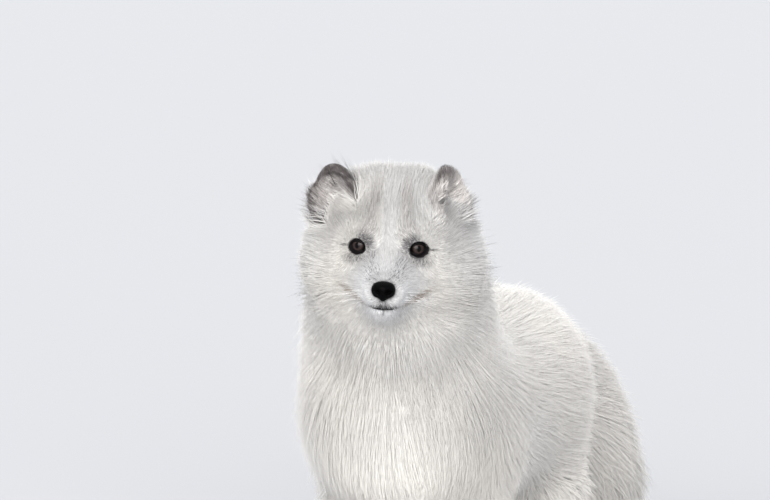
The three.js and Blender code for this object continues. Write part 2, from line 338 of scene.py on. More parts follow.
def upEar(places):  # how far up its ear a place is
    x = inHead(places)[:, 0]
    return np.max([inEar(places, side)[:, 2] * (x * sides[side] > 0) for side in sides], axis=0)


def earFormed(places, side):
    spots, form = inEar(places, side), earForm[side]
    narrower = np.where(spots[:, 0] * sides[side] > 0, form["outer"], form["inner"])
    spots[:, 0] *= 1 - narrower * ramp(spots[:, 2], *ear["narrowing"])
    spots[:, 2] += form["tall"] * np.clip(spots[:, 2] - ear["shell"][0][2], 0, None)
    return spots * mm @ earAxes(side).T + earBase(side)


def eggValue(spots, egg):  # below 1 inside the egg
    middle, size = egg
    return length((spots - middle) / size)


# Which part of the fox a place belongs to, 0 to 1

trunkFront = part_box("trunk")[0].y / mm
tailFront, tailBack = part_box("tail_base")[0].y / mm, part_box("tail_brush")[1].y / mm
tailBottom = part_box("tail_brush")[0].z / mm
legPlan = {"height": (145, 100), "reach": (64, 36)}  # where a leg begins and where it is all leg
legAxes = [boxCentre(leg + side).xy / mm for leg in ("upper_foreleg_", "thigh_") for side in sides]
earNodes = {side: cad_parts["ear_" + side] for side in sides}
earTrees = [surfaceTree(node, earFormed(placesOf(node), side)) for side, node in earNodes.items()]


def partShares(places):
    spots = inHead(places)
    x, y, z = (places / mm).T
    behindHead = -0.88 * (spots[:, 1] - 56) + 0.48 * (spots[:, 2] + 14)
    pastRump = 0.9 * (y - tailFront - 26) - 0.44 * (z - 232)
    tailShare = ramp(pastRump, -22, 22) * ramp(y, 112, 140)
    nearLeg = np.max([ramp(np.hypot(x - axis.x, y - axis.y), *legPlan["reach"]) for axis in legAxes], axis=0)
    leg = np.maximum(nearLeg * ramp(z, *legPlan["height"]), ramp(z, 106, 96))
    fromEar = np.min([[tree.find_nearest(place)[3] for place in places] for tree in earTrees], axis=0) / mm
    return {
        "head": ramp(behindHead, -28, 22), "tail": tailShare, "ear": ramp(fromEar, 5.0, 2.6),
        "leg": leg * (1 - tailShare), "paw": ramp(z, 46, 32) * (1 - tailShare),
    }


# How deep the skin lies under the tips of the coat, in millimetres

depth = {
    "trunk": 26, "ruff": 30, "tail": 28, "tailRoot": 18, "tailTip": 8, "upperLeg": 12, "lowerLeg": 5,
    "paw": 3, "crown": 12, "cheek": 17, "muzzle": 1.6, "eye": 0.8, "ear": 1.0, "earTip": 0.4,
}


def coatDepth(places, part):
    spots = inHead(places)
    y, z = places[:, 1:].T / mm
    deep = np.full(len(places), float(depth["trunk"]))
    deep = mixed(deep, depth["ruff"], ramp(y, trunkFront + 170, trunkFront + 60) * ramp(z, 190, 250))
    face = [depth["muzzle"], 2.4, 5, 9, depth["cheek"], 28]
    face = np.interp(fromNose(spots), [8, 22, 45, 70, 100, 135], face)
    face = np.minimum(face, mixed(np.full(len(places), 30.0), depth["crown"], ramp(spots[:, 2], 8, 34)))
    face = np.minimum(face, np.interp(fromEyes(spots), [9, 16, 34], [depth["eye"], 2.4, 12]))
    deep = mixed(deep, face, part["head"])
    tail = np.interp(y, [tailFront, tailFront + 80], [depth["tailRoot"], depth["tail"]])
    toTip = np.hypot(y - tailBack, z - tailBottom)
    tail = np.minimum(tail, np.interp(toTip, [0, 90], [depth["tailTip"], depth["tail"]]))
    deep = mixed(deep, tail, part["tail"])
    leg = np.interp(z, [20, 60, 100, 150], [depth["paw"], depth["lowerLeg"], depth["upperLeg"], 20])
    deep = mixed(deep, leg, part["leg"])
    thinner = (depth["ear"] - depth["earTip"]) * ramp(upEar(places), 18, 36)
    return mixed(deep, depth["ear"] - thinner, part["ear"])


# The skin: the solids of flesh joined, then drawn in by the depth of the coat

eyeRim = {"left": (8.2, 6.8, -0.1), "right": (7.7, 6.4, -0.3)}  # half width, half height and middle
skinPlan = {"closing": 0.45, "voxel": 2.6, "fineVoxel": 2.5, "steps": 6, "softening": 26}
eye = {"radius": 9.0, "bulge": 0.8, "clearFront": 6.4, "pupil": (1.6, 2.7), "iris": 5.3, "lift": 0.4}


def fleshCopy():
    copies = []
    for name in fleshNodes:
        piece = newPiece("flesh_" + name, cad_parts[name].data.copy())
        if name.startswith("ear_"):
            moveTo(piece, earFormed(placesOf(piece), name[4:]))
        closeUp(piece)
        startEdit(piece)
        bpy.ops.transform.shrink_fatten(value=skinPlan["closing"] * mm)
        endEdit()
        copies.append(piece)
    return joined(copies, "skin")


def remeshed(piece, voxel):
    remesh = piece.modifiers.new("remesh", "REMESH")
    remesh.mode = "VOXEL"
    remesh.voxel_size = voxel * mm
    applyModifiers(piece)


def drawnIn(piece):
    edges, places = edgesOf(piece), placesOf(piece)
    part, spots = partShares(places), inHead(places)
    feature = np.maximum(ramp(fromEyes(spots), 26, 15), ramp(fromNose(spots), 24, 14))
    loose = (1 - part["ear"]) * (1 - feature) * (1 - 0.55 * ramp(length(spots), 80, 55))
    loose *= 1 - 0.8 * part["paw"]
    moveTo(piece, mixed(places, evened(places, edges, skinPlan["softening"]), loose))
    deep = evened(coatDepth(places, part), edges, 14)
    for turn in range(skinPlan["steps"]):
        inward = readAll(piece.data.vertices, "normal") * (deep * mm / skinPlan["steps"])[:, None]
        places = placesOf(piece) - inward
        places = mixed(places, evened(places, edges, 1), 0.35)
        moveTo(piece, mixed(places, evened(places, edges, 8), 0.9 * loose))


def faceFiner(piece):  # smaller faces where the short hair shows the skin's form
    x, y, z = inHead(readAll(piece.data.polygons, "center")).T
    startEdit(piece, "DESELECT")
    bpy.ops.mesh.select_mode(type="FACE")
    endEdit()
    piece.data.polygons.foreach_set("select", (np.abs(x) < 44) & (y < 24) & (z > -64) & (z < 30))
    bpy.ops.object.mode_set(mode="EDIT")
    bpy.ops.mesh.subdivide(number_cuts=1, smoothness=0.6)
    bpy.ops.mesh.select_mode(type="VERT")
    endEdit()


def eyesHollowed(places):  # the skin held behind the ball of each eye, and over it beyond the dark rim
    places = np.array(places)
    for side in sides:
        axes, centre = eyeAxes(side), np.array(eyeCentre[side])
        spots = (places - centre) @ axes.T / mm
        away = np.hypot(spots[:, 0], spots[:, 1] * 1.1)
        wide, tall, low = eyeRim[side]
        ball = np.sqrt(np.clip(eye["radius"] ** 2 - away**2, 1, None))
        near = (spots[:, 2] > 0) & (away < 12)
        outside = ramp(np.hypot(spots[:, 0] / wide, (spots[:, 1] - low) / tall), 0.9, 1.05)
        over = np.maximum(spots[:, 2], (ball + 0.5) * ramp(away, 10.5, 9))
        spots[:, 2] = mixed(np.minimum(spots[:, 2], ball - 1.6 * ramp(away, 9.1, 8)), over, outside)
        places = np.where(near[:, None], spots * mm @ axes + centre, places)
    return places


def buildSkin():
    piece = fleshCopy()
    remeshed(piece, skinPlan["voxel"])
    outer = surfaceTree(piece, placesOf(piece))
    drawnIn(piece)
    remeshed(piece, skinPlan["fineVoxel"])
    faceFiner(piece)
    places = placesOf(piece)
    loose = 1 - 0.75 * partShares(places)["ear"]
    moveTo(piece, eyesHollowed(mixed(places, evened(places, edgesOf(piece), 4), loose)))
    startEdit(piece)
    bpy.ops.uv.smart_project(angle_limit=math.radians(66), island_margin=0.002)
    endEdit()
    piece.data.uv_layers[0].name = "OFBake"
    print("skin:", len(piece.data.vertices), "points")
    return piece, outer


skin, outerTree = buildSkin()
skinTree = surfaceTree(skin, placesOf(skin))


# What the coat needs to know at each point of the skin

def skinField():
    mesh = skin.data
    edges, places = edgesOf(skin), placesOf(skin)
    reach = np.array([outerTree.find_nearest(place)[3] for place in places]) / mm
    mesh.calc_loop_triangles()
    corners = readAll(mesh.loop_triangles, "vertices", 3, np.int64)
    loops = readAll(mesh.loop_triangles, "loops", 3, np.int64)
    a, b, c = (places[corners[:, k]] for k in range(3))
    normals = evened(readAll(mesh.vertices, "normal"), edges, 3)
    for side in sides:
        besideEye = ramp(length(places - fromHead(pupil(side))) / mm, 13, 10)
        normals = unit(mixed(normals, eyeAxes(side)[2], besideEye))
    return {
        "places": places, "normals": normals, "edges": edges, "part": partShares(places),
        "reach": evened(reach, edges, 6), "corners": corners, "area": length(np.cross(b - a, c - a)) / 2,
        "spread": readAll(mesh.uv_layers["OFBake"].data, "uv", 2)[loops], "tree": pointTree(places),
    }


field = skinField()


# The lie of the coat: back from the nose, out round the eyes, down the chest and legs, along the tail

lie = {
    "from": (0, -54, -27), "back": (0, 1, -0.35), "chest": (0, 0.12, -1), "rump": (0, 0.5, -0.85),
    "leg": (0, 0.15, -1), "paw": (0, -0.8, -0.5),
    "tailRoot": (0.05, 0.85, -0.4), "tailTip": (0.05, 0.5, -0.85),
    "swing": ((8, 0.06, 3), (4, 0.02, 4)),  # slow turns to one side and the other: degrees, size and seed
}


def coatLie(places, normals, part):
    spots = inHead(places)
    y = places[:, 1] / mm
    outward = unit(spots - lie["from"])
    for side in sides:
        away = spots - pupil(side, 2)
        outward = unit(mixed(outward, unit(away), 0.97 * ramp(length(away), 30, 12)))
    outward[:, 2] -= 0.45 * ramp(fromNose(spots), 70, 130) * ramp(spots[:, 2], 30, -20)
    headLie = unit(outward) @ headTurn.T
    chest = ramp(normals[:, 1], 0.35, -0.35) * ramp(y, -90, -200)
    bodyLie = unit(mixed(unit(np.array(lie["back"])), lie["chest"], chest))
    bodyLie = unit(mixed(bodyLie, lie["rump"], ramp(y, 90, 170) * (1 - part["tail"])))
    nearHead = np.maximum(part["head"], 0.65 * ramp(length(spots - (0, 30, -10)), 150, 90))
    flow = mixed(bodyLie, headLie, nearHead)
    flow = mixed(flow, mixed(lie["tailRoot"], lie["tailTip"], ramp(y, 200, 350)), part["tail"])
    for name in ("leg", "paw"):
        flow = mixed(flow, lie[name], part[name])
    for side in sides:
        axes, inside = earAxes(side), inEar(places, side)
        back = 0.5 * ramp(inside[:, 2], 28, 38)[:, None]
        out = 0.5 * ramp(eggValue(inside, ear["hollow"]), 1.3, 1.05) * ramp(inside[:, 2], 32, 18)
        fluff = 0.5 * earWool[side]["fluff"] * ramp(inside[:, 0] * sides[side], 0, 12)
        out = np.maximum(out, fluff)[:, None]
        upwards = axes[:, 2] * (1 - back) + axes[:, 1] * back
        earLie = upwards * (1 - out) + axes[:, 0] * sides[side] * out
        flow = mixed(flow, earLie, part["ear"] * (spots[:, 0] * sides[side] > 0))
    return flow


def laidOut():
    places, normals = field["places"], field["normals"]
    sharp = along(coatLie(places, normals, field["part"]), normals)
    flow = sharp
    for turn in range(6):
        flow = along(evened(flow, field["edges"], 4), normals)
    flow = along(mixed(flow, sharp, ramp(fromEyes(inHead(places)), 15, 11)), normals)
    swing = np.radians(sum(degrees * waves(places, size, seed) for degrees, size, seed in lie["swing"]))
    return turned(flow, normals, swing)


def turned(directions, normals, angles):
    across = np.cross(normals, directions)
    return directions * np.cos(angles)[:, None] + across * np.sin(angles)[:, None]


field["lie"] = laidOut()
print("lie of the coat set")


# Markings, and painted light and shade, shared by the skin and every tuft on it

tones = {
    "white": shade(253, 251, 249), "cream": shade(250, 245, 237), "frost": shade(251, 250, 250),
    "grey": shade(138, 134, 135), "warmGrey": shade(208, 202, 198), "ash": shade(104, 101, 103),
    "earRim": shade(72, 66, 65), "earGrey": shade(168, 164, 162), "earBack": shade(216, 211, 207),
    "earHollow": shade(150, 144, 141), "earWool": shade(200, 194, 190), "crease": shade(168, 150, 132),
    "lip": shade(40, 38, 39), "dark": shade(34, 31, 32),
}
marks = [  # across, height, width, tallness, turn, tone, strength; in the head's frame and on both sides
    (19.5, 8, 6.5, 4.5, 25, "ash", 0.9),
    (16.5, 4, 3.5, 6, 20, "ash", 0.8),
    (17, 16, 8, 9, 10, "grey", 0.4),
    (14, 34, 5, 18, 8, "warmGrey", 0.6),
    (28, -9, 9, 4, -12, "ash", 0.55),
    (12, -15, 8, 8, -25, "ash", 0.32),
    (13, -2, 4.5, 9, 0, "grey", 0.4),
    (37, 0.3, 6, 1.0, 0, "dark", 0.7),
    (27, -39, 13, 2.6, 27, "crease", 0.9),
    (0, -40, 7, 3.4, 0, "ash", 0.7),
    (0, -43.6, 13.5, 2.0, 0, "dark", 1.0),
    (0, -49, 1.0, 2.4, 0, "dark", 0.5),
    (36, 62, 8, 10, 0, "grey", 0.8),
    (65, 28, 7, 15, 12, "ash", 0.7),
    (50, 18, 12, 18, 0, "warmGrey", 0.35),
]
shadeByDepth = {  # painted shade: short hair shows less shadow among its strands than deep coat, so its colour is darkened to match; at each depth, on the face and elsewhere
    "depth": [1, 3, 6, 10, 17, 27], "face": [0.48, 0.56, 0.475, 0.43, 0.53, 0.92],
    "body": [0.72, 0.78, 0.85, 0.92, 0.98, 1.0],
}


def rimValue(spots, side, lower=0):  # below 1 inside the dark rim of an eye
    wide, tall, low = eyeRim[side]
    return np.hypot((spots[:, 0] - pupil(side)[0]) / wide, (spots[:, 2] - low) / (tall - lower))


def faceMarked(tone, spots, fleck, front):
    x, y, z = spots.T
    for across, height, width, tallness, turn, name, strength in marks:
        for side in (1, -1) if across else (1,):
            u, v = x * side - across, z - height
            c, s = math.cos(math.radians(turn)), math.sin(math.radians(turn))
            away = np.hypot((u * c + v * s) / width, (v * c - u * s) / tallness)
            tone = mixed(tone, tones[name], np.clip(strength * fleck * front * ramp(away, 1.7, 0.2), 0, 1))
    for side in sides:
        rim = ramp(rimValue(spots, side), 1.1, 0.98) * (0.5 + 0.4 * fleck)
        tone = mixed(tone, tones["dark"], front * np.clip(rim, 0, 1))
    blaze = ramp(np.abs(x - 0.5), 9, 3) * ramp(z, -24, -4) * front
    return mixed(tone, tones["white"], 0.8 * blaze)


# Painted light and shade in the coat's colour: darker for shorter hair, round the eyes and the nose, low on
# the body and on top of the head behind the face; lighter high on the face, on its sides and on its lower
# part
def paintedShading(places, spots, part):
    x, y, z = spots.T
    deep, nose = coatDepth(places, part), fromNose(spots)
    face = np.interp(deep, shadeByDepth["depth"], shadeByDepth["face"]) * (1 + 0.06 * ramp(z, 14, 30) + 0.07 * ramp(z, 34, 50))
    face *= (1 - 0.3 * ramp(fromEyes(spots), 24, 13)) * (1 - 0.38 * ramp(nose, 23, 13))
    face *= 1 + 0.3 * np.maximum(ramp(np.abs(x), 28, 50), ramp(z, -6, -32))
    body = np.interp(deep, shadeByDepth["depth"], shadeByDepth["body"]) * (1 - 0.17 * ramp(places[:, 2] / mm, 285, 205))
    body *= 1 - 0.1 * ramp(z, 34, 56) * ramp(y, 90, 50)
    inFace = part["head"] * ramp(z, -72, -48) * ramp(y - 16 * ramp(z, 20, 50), 62, 30)
    return mixed(body, face, inFace)[:, None]


def earMarked(tone, places, own, side):
    spots, wool = inEar(places, side), earWool[side]
    x, y, z = spots.T
    inward = -x * sides[side]
    hollow, shell = eggValue(spots, ear["hollow"]), eggValue(spots, ear["shell"])
    tone = mixed(tone, tones["earGrey"], own * (0.75 + 0.2 * waves(places, 0.02, 12)))
    # painted shade: darker deep inside the ear's shell
    shaded = own * ramp(shell, 0.98, 0.85) * (0.8 + 0.3 * waves(places, 0.008, 13))
    tone = mixed(tone, tones["earHollow"], shaded)
    outline = np.hypot(x / ear["shell"][1][0], (z - ear["shell"][0][2]) / ear["shell"][1][2])
    rim = ramp(outline, 0.58, 0.82) * ramp(hollow, 1.9, 1.4) * (0.95 + 0.3 * waves(places, 0.01, 14))
    rim *= 1 - wool["paleRim"] * (1 - ramp(inward, -4, 3) * ramp(z, 18, 30))
    tone = mixed(tone, tones["earRim"], np.clip(own * rim, 0, 1))
    tone = mixed(tone, tones["earBack"], own * ramp(y, 2, 7) * 0.85)
    woolly = ramp(z, wool["top"] + 6, wool["top"] - 8) * ramp(hollow, 1.3, 1.05)
    woolly *= ramp(-inward, wool["edge"] + 5, wool["edge"] - 4)
    woolly = own * woolly * (0.85 + 0.45 * waves(places, 0.006, 15))
    return mixed(tone, tones["earWool"], np.clip(woolly, 0, 1))


def coatTone(places, part, source=None):  # with a source, each tuft takes its own share of a mark
    spots = inHead(places)
    x, y, z = spots.T
    nose = fromNose(spots)
    fleck = np.ones(len(places))
    if source is not None:
        chance = source.uniform(0, 1, len(places))
        fleck = mixed(0.25 + 1.5 * chance, 5 * chance**4, ramp(nose, 50, 34) * ramp(z, -31, -25))
    fleck = fleck * (1 + 0.4 * waves(places, 3.5 * mm, 21))
    tone = mixed(tones["white"], tones["cream"], 0.5 + 0.35 * waves(places, 0.12, 11))
    tone = mixed(tone, tones["cream"], 0.7 * ramp(z, -10, -70) * ramp(nose, 30, 60))
    tone = mixed(tone, tones["white"], ramp(z, 20, 60) * ramp(y, 90, 40) * 0.6)
    tone = mixed(tone, tones["frost"], part["head"] * ramp(nose, 66, 26))
    tone = faceMarked(tone, spots, fleck, part["head"] * ramp(y, 54, 36) * (1 - part["ear"]))
    # painted light and shade laid over the markings
    tone = tone * paintedShading(places, spots, part)
    for side in sides:
        tone = earMarked(tone, places, part["ear"] * (x * sides[side] > 0), side)
    return tone


under = mixed(0.95, 0.7, field["part"]["head"])[:, None]  # the skin is in the shade of the coat
paint(skin.data, coatTone(field["places"], field["part"]) * under)
finishPiece(skin, skinFur, "coat", *fleshNodes)


# The coat: spindles of three sides, each walked over the skin along the lie, in overlapping layers.
# They differ in tone by fleck, rise to a share of the depth given by lift, turn by spread in degrees, and
# root sets how much darker each is at its root, as painted shade.

coatValues = ("count", "fleck", "lift", "guard", "clump", "clumps", "spread", "root")
coats = {
    "head": (108000, 0.075, (0.6, 1.2), 0.05, 0.14, 12, 6, 0.88),
    "ruff": (54000, 0.015, (0.88, 1.1), 0.04, 0.06, 14, 5, 0.99),
    "trunk": (42000, 0.035, (0.8, 1.1), 0.05, 0.12, 14, 7, 0.97),
    "leg": (15000, 0.035, (0.5, 1.1), 0.05, 0.25, 14, 8, 0.92),
    "paw": (5500, 0.08, (0.4, 1.0), 0, 0.2, 10, 8, 0.92),
    "tail": (16500, 0.035, (0.65, 1.15), 0.07, 0.25, 12, 9, 0.97),
    "ear": (9000, 0.12, (0.5, 1.2), 0, 0.1, 10, 14, 0.84),
}
guardHair = {"lift": 1.24, "long": 1.2}
bend = 0.38  # how far along a tuft is thickest


def bareShare(spots):  # none on the rims of the eyes, the mouth and the nose
    x, y, z = spots.T
    bare = np.ones(len(spots))
    for side in sides:
        bare *= np.where(np.abs(y) < 16, ramp(rimValue(spots, side, 0.1), 0.96, 1.06), 1)
    bare *= np.where(y < -20, ramp(np.hypot(x / 12.5, (z + 42.9) / 3.0), 0.7, 1.1), 1)
    return bare * np.where(y < -38, ramp(np.hypot(x / 9.6, (z + 28) / 7.6), 0.9, 1.0), 1)


def coatShares():  # how much each coat grows at each point of the skin
    places = field["places"]
    spots = inHead(places)
    y, z = places[:, 1:].T / mm
    part = field["part"]
    onHead, onTail, onEar, onLeg, onPaw = (part[key] for key in ("head", "tail", "ear", "leg", "paw"))
    long, wide, high = headHair(spots, field["reach"])
    rest = (1 - onHead) * (1 - onTail) * (1 - onLeg) * (1 - onEar)
    neck = ramp(y, -110, -160)
    nape = 1.5 * ramp(spots[:, 1], 50, 80) * ramp(spots[:, 2], 10, 35)
    return {
        "head": onHead * (1 - onEar) * bareShare(spots) * (1 + nape) / (long * wide) ** 0.9,
        "ruff": rest * neck * (1 + 1.5 * onHead), "trunk": rest * (1 - neck),
        "leg": onLeg * (1 - onPaw) * (1 + ramp(z, 110, 60)), "paw": onPaw * ramp(z, 1, 5),
        "tail": onTail, "ear": onEar,
    }


def headHair(spots, reach):
    x, y, z = spots.T
    nose, aside = fromNose(spots), np.abs(x)
    long = np.interp(nose, [8, 22, 45, 70, 95, 130], [3, 5.5, 11, 23, 42, 52])
    long = np.minimum(long, np.interp(fromEyes(spots), [8, 14, 24, 40], [2.2, 4.5, 13, 26]))
    long = np.minimum(long, 60 - 36 * ramp(z, 0, 26) * ramp(y, 80, 50))
    crown = (0.65 + 0.35 * ramp(aside, 4, 22)) * ramp(z, 34, 54) * ramp(aside, 50, 38)
    crown = crown * ramp(y, 70, 30)
    cheek = ramp(nose, 60, 100) * ramp(z, 40, 10)
    high = np.minimum(reach, 0.5 * long + 14 * cheek) + (13 + 4 * ramp(aside, 12, 34)) * crown + 6 * cheek
    return long, np.interp(long, [3, 10, 20, 48], [0.75, 0.65, 0.7, 0.8]), high


def earHair(places, spots, reach):
    tip = upEar(places)
    fluff = np.where(spots[:, 0] > 0, *(earWool[side]["fluff"] for side in sides))
    wool = np.maximum(ramp(tip, 24, 8), fluff)
    hollow = np.min([eggValue(inEar(places, side), ear["hollow"]) for side in sides], axis=0)
    high = np.clip(reach, 1.0, 1.5) + 2 * wool + 3 * fluff + 4 * ramp(hollow, 1.25, 1.05) * ramp(tip, 18, 6)
    return 4.2 + 8 * wool, 0.6, high


def hairSize(name, places, reach):  # length, thickness and height of each tuft, in millimetres
    spots = inHead(places)
    z = places[:, 2] / mm
    if name == "head":
        return headHair(spots, reach)
    if name == "ear":
        return earHair(places, spots, reach)
    if name == "leg":
        return np.interp(z, [40, 100, 150], [9, 24, 42]), np.interp(z, [40, 100, 150], [1.0, 1.5, 2.2]), reach
    if name == "paw":
        return 7, 0.9, np.clip(reach, 1.5, 3)
    wide = {"ruff": 0.8, "trunk": 1.0, "tail": 1.05}[name]
    return np.interp(reach, [8, 28], [28, 56]), wide, reach


def strewn(weights, count, source):  # evenly strewn triangles and places in them
    share = weights[field["corners"]].mean(axis=1) * field["area"]
    total = np.cumsum(share)
    spots = (np.arange(count) + source.uniform(0, 1, count)) / count * total[-1]
    chosen = np.searchsorted(total, spots).clip(0, len(share) - 1)
    u, v = source.uniform(0, 1, (2, count))
    over = u + v > 1
    u[over], v[over] = 1 - u[over], 1 - v[over]
    return chosen, np.stack([1 - u - v, u, v], axis=1)


def walked(places, directions, long, high, steps):  # the line of each tuft, risen off the skin
    path, line, upright = places, [places], []
    for earlier, later in zip(steps, steps[1:]):
        path = path + directions * (long * (later - earlier) * mm)[:, None]
        nearest = np.array([field["tree"].find(spot)[1] for spot in path])
        normals = unit(field["normals"][nearest])
        path -= normals * ((path - field["places"][nearest]) * normals).sum(1, keepdims=True)
        directions = along(0.6 * directions + 0.4 * field["lie"][nearest], normals)
        line.append(path + normals * (high * (1 - (1 - later) ** 1.7) * mm)[:, None])
        upright.append(normals)
    return np.stack(line, axis=1), np.stack([upright[0], *upright], axis=1)


def clumped(line, steps, clumps, share, source):  # tips drawn towards those of a few neighbours
    leaders = source.choice(len(line), max(1, len(line) // clumps), replace=False)
    tree = pointTree(line[leaders, 0])
    nearest = leaders[[tree.find(root)[1] for root in line[:, 0]]]
    pull = share * np.asarray(steps)[None, :, None] ** 1.5 * source.uniform(0.4, 1.3, (len(line), 1, 1))
    return line + (line[nearest] - line) * pull


def tuftFaces(rings):  # one spindle: a point, rings of three and a point
    faces = []
    for k in range(3):
        following = (k + 1) % 3
        faces.append((1 + k, 1 + following, 0))
        for ring in range(rings - 1):
            low, high = 1 + 3 * ring, 4 + 3 * ring
            faces.append((low + following, low + k, high + k))
            faces.append((low + following, high + k, high + following))
        top = 1 + 3 * (rings - 1)
        faces.append((top + following, top + k, 3 * rings + 1))
    return np.array(faces)


def tuftPatch(rings):  # its place on the unwrap, about its root's
    height = np.concatenate([[0], np.repeat(np.arange(1, rings + 1), 3), [rings + 1]]) / (rings + 1) - 0.5
    patch = np.stack([np.zeros(len(height)), height], axis=1)
    patch[1:-1, 0] = np.tile([-0.5, 0, 0.5], rings)
    return patch * 0.003


def tuftMesh(name, line, upright, wide, colours, spread, facing=None):
    count, points = line.shape[:2]
    rings = points - 2
    perTuft = 2 + 3 * rings
    heading = unit(np.gradient(line, axis=1))
    across = unit(np.cross(heading, upright))
    up = np.cross(across, heading)
    places, shades = np.empty((2, count, perTuft, 3))
    places[:, 0], places[:, -1] = line[:, 0] - upright[:, 0] * 0.3 * mm, line[:, -1]
    shades[:, 0], shades[:, -1] = colours[:, 0], colours[:, -1]
    girth = np.linspace(1.0, 0.35, rings)
    for ring in range(rings):
        half = (wide * mm / 2 * girth[ring])[:, None]
        for corner, angle in enumerate(np.radians([90, 210, 330])):
            offset = across[:, ring + 1] * math.cos(angle) + up[:, ring + 1] * 0.45 * math.sin(angle)
            places[:, 1 + 3 * ring + corner] = line[:, ring + 1] + offset * half
            shades[:, 1 + 3 * ring + corner] = colours[:, ring + 1]
    every = (tuftFaces(rings) + perTuft * np.arange(count)[:, None, None]).ravel()
    mesh = bpy.data.meshes.new(name)
    mesh.vertices.add(count * perTuft)
    mesh.vertices.foreach_set("co", places.astype(np.float32).ravel())
    mesh.loops.add(len(every))
    mesh.loops.foreach_set("vertex_index", every.astype(np.int32))
    mesh.polygons.add(len(every) // 3)
    mesh.polygons.foreach_set("loop_start", np.arange(0, len(every), 3, dtype=np.int32))
    mesh.update(calc_edges=True)
    paint(mesh, shades.reshape(-1, 3))
    spots = (spread[:, None] + tuftPatch(rings)).reshape(-1, 2)[every]
    mesh.uv_layers.new(name="OFBake").data.foreach_set("uv", spots.astype(np.float32).ravel())
    if facing is not None:  # hair takes the light as the coat does
        own = readAll(mesh.vertices, "normal")
        mesh.polygons.foreach_set("use_smooth", np.ones(len(mesh.polygons), bool))
        soft = unit(mixed(own, np.repeat(facing, perTuft, axis=0), 0.82))
        mesh.normals_split_custom_set_from_vertices(soft)
    return mesh


def parted(name, count, places):  # a coat of many tufts is kept in a few pieces
    if count < 30000:
        return {name + "Coat": np.ones(len(places), bool)}
    left = places[:, 0] > (headOrigin.x if name == "head" else 0)
    if name != "head":
        return {name + "Coat_left": left, name + "Coat_right": ~left}
    spots = inHead(places)
    face, high = fromNose(spots) < 52, spots[:, 2] > 14
    pieces = {}
    for title, own in (("face", face), ("crown", ~face & high), ("cheek", ~face & ~high)):
        pieces[title + "Coat_left"], pieces[title + "Coat_right"] = own & left, own & ~left
    return pieces


def growCoat(name, weights, seed):
    plan = dict(zip(coatValues, coats[name]))
    count, source = plan["count"], np.random.RandomState(seed)
    chosen, shares = strewn(weights, count, source)
    corners = field["corners"][chosen]

    def here(values):
        return (values[corners] * shares.reshape(count, 3, *[1] * (values.ndim - 1))).sum(axis=1)

    places, normals = here(field["places"]), unit(here(field["normals"]))
    part = {key: here(values) for key, values in field["part"].items()}
    x, y, z = inHead(places).T
    directions = along(here(field["lie"]), normals)
    directions = turned(directions, normals, np.radians(source.normal(0, plan["spread"], count)))
    long, wide, high = hairSize(name, places, here(field["reach"]))
    if name in ("head", "ruff"):  # the dip behind the skull filled
        high = high + 9 * ramp(y, 74, 88) * ramp(y, 128, 104) * ramp(z, -8, 12)
    long = long * source.uniform(0.7, 1.15, count)
    wide = wide * source.uniform(0.7, 1.2, count)
    lift = mixed(*plan["lift"], source.uniform(0, 1, count) ** 0.7)
    guard = source.uniform(0, 1, count) < plan["guard"]
    lift, long = lift * np.where(guard, guardHair["lift"], 1), long * np.where(guard, guardHair["long"], 1)
    steps = [0, bend, 1]
    line, upright = walked(places, directions, long, high * lift, steps)
    line = clumped(line, steps, plan["clumps"], plan["clump"], source)
    flecks = np.interp(long, [4, 14, 30], [0.16, 0.1, plan["fleck"]])
    flecks = flecks * (1 + 1.3 * part["head"] * ramp(np.abs(x), 26, 40) * ramp(z, 5, 20))
    base = coatTone((line[:, 1] + line[:, 2]) / 2, part, source)
    base = base * (1 + flecks * source.normal(0, 1, count))[:, None]
    # painted shade: each tuft darker at its root, where the coat above shades it
    fade = np.array([plan["root"], 0.5 + 0.5 * plan["root"], 1.0])
    colours = base[:, None] * fade[:, None]
    spread = (field["spread"][chosen] * shares[..., None]).sum(axis=1)
    for title, own in parted(name, count, places).items():
        mesh = tuftMesh(title, line[own], upright[own], wide[own], colours[own], spread[own], normals[own])
        finishPiece(newPiece(title, mesh), coatFur, "ear_coat" if name == "ear" else "coat")
    print(name, "coat:", count, "tufts")


for order, (name, weights) in enumerate(coatShares().items()):
    growCoat(name, weights, 100 + order)


# The eyes, each a ball with its clear front bulging

gazeAcross = 2 * eye["radius"] + 2  # millimetres across the map named gaze


